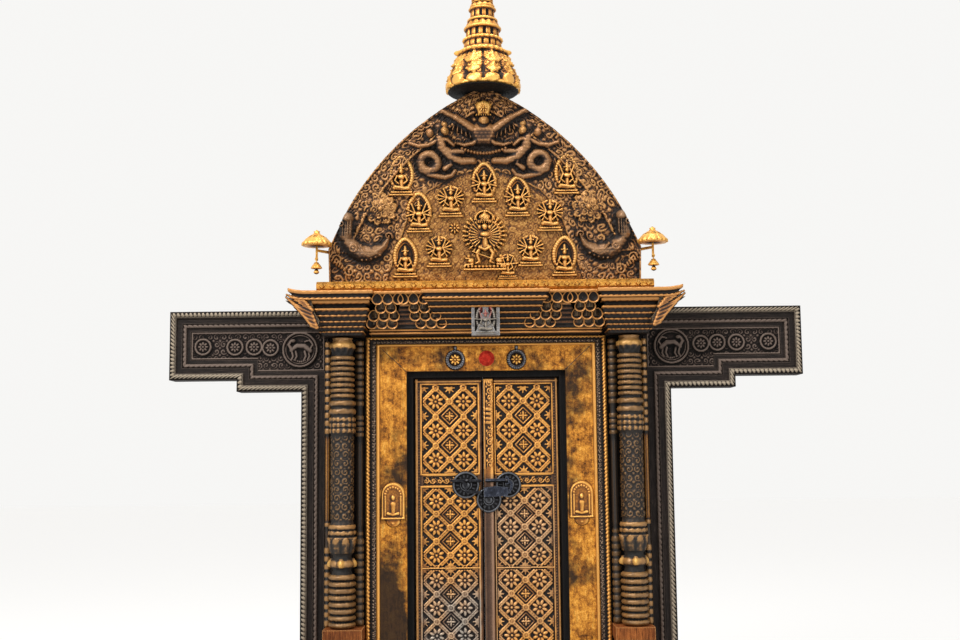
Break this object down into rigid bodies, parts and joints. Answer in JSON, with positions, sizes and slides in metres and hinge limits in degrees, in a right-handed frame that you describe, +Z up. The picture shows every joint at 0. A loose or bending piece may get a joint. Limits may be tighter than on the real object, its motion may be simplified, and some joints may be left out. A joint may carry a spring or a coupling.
{
  "type": "carved temple door",
  "caption": "Double door in a carved frame with gilt leaves, ringed columns, a tiered cornice, a leaning figured tympanum and a finial.",
  "frame": {"origin": "middle of the sill's underside, on the line of the wall face", "axes": "+X to the viewer's right, -Y towards the viewer, +Z up"},
  "size_m": [3.152, 0.6527, 3.716],
  "materials": {
    "dark_timber": "old carved hardwood, dusty",
    "dark_column_timber": "carved, worn and oiled by hands",
    "gilt_sheet": "worn gilt copper sheet",
    "gilt_bright": "fire-gilt casting",
    "bronze_dark": "dark bronze repousse",
    "iron_black": "forged and oiled",
    "vermilion": "powder on metal",
    "silvered": "greyed metal with powder",
    "stone": "worn sill"
  },
  "bodies": {
    "frame": {"beaded_moulding": "gilt_bright", "bird_man": "bronze_dark", "capital_left": "dark_column_timber", "capital_right": "dark_column_timber", "central_deity": "gilt_bright", "centre_plaque": "silvered", "column_board_left": "dark_timber", "column_board_right": "dark_timber", "column_pedestal_left": "dark_column_timber", "column_pedestal_right": "dark_column_timber", "corner_leaves": "dark_column_timber", "cornice_board": "gilt_sheet", "deity_plaques": "gilt_bright", "door_post_left": "dark_timber", "door_post_right": "dark_timber", "finial_skirt": "gilt_bright", "finial_spire": "gilt_bright", "flower_bosses": "bronze_dark", "gilt_jamb_left": "gilt_sheet", "gilt_jamb_right": "gilt_sheet", "gilt_lintel": "gilt_sheet", "gilt_moulding": "gilt_sheet", "head_beam": "dark_timber", "jamb_plaques": "gilt_sheet", "lintel_boss": "vermilion", "lintel_rings": "gilt_sheet", "lotus_brackets": "dark_column_timber", "main_column_left": "dark_column_timber", "main_column_right": "dark_column_timber", "makara_left": "bronze_dark", "makara_right": "bronze_dark", "middle_block": "dark_column_timber", "outer_jamb_left": "dark_timber", "outer_jamb_right": "dark_timber", "outer_lintel": "dark_timber", "parasol_left": "gilt_bright", "parasol_right": "gilt_bright", "serpents": "bronze_dark", "slim_shafts_left": "dark_column_timber", "slim_shafts_right": "dark_column_timber", "stepped_brackets": "dark_column_timber", "threshold_sill": "stone", "torana_board": "bronze_dark", "torana_rim": "bronze_dark", "wing_panel_left": "dark_timber", "wing_panel_right": "dark_timber"},
    "leaf_left": {"leaf_board_left": "dark_timber", "leaf_border_left": "gilt_sheet", "rosette_panels_left": "gilt_sheet", "lock_plate_left": "iron_black", "lock_bolt": "iron_black"},
    "leaf_right": {"leaf_board_right": "dark_timber", "leaf_border_right": "gilt_sheet", "rosette_panels_right": "gilt_sheet", "cover_strip": "gilt_sheet", "lock_plates_right": "iron_black", "lock_case": "iron_black"},
    "pendant_left": {"pendant_left": "gilt_bright"},
    "pendant_right": {"pendant_right": "gilt_bright"}
  },
  "joints": [
    {"name": "leaf_left_hinge", "type": "hinge", "parent": "frame", "child": "leaf_left", "pos_m": [-0.385, 0.08, 0.15], "axis": [0, 0, 1], "range_deg": [0, 90]},
    {"name": "leaf_right_hinge", "type": "hinge", "parent": "frame", "child": "leaf_right", "pos_m": [0.385, 0.08, 0.15], "axis": [0, 0, -1], "range_deg": [0, 90]},
    {"name": "pendant_left_swing", "type": "hinge", "parent": "frame", "child": "pendant_left", "pos_m": [-0.815, -0.2655, 2.349], "axis": [0, 1, 0], "range_deg": [-25, 25]},
    {"name": "pendant_right_swing", "type": "hinge", "parent": "frame", "child": "pendant_right", "pos_m": [0.815, -0.2655, 2.349], "axis": [0, 1, 0], "range_deg": [-25, 25]}
  ]
}
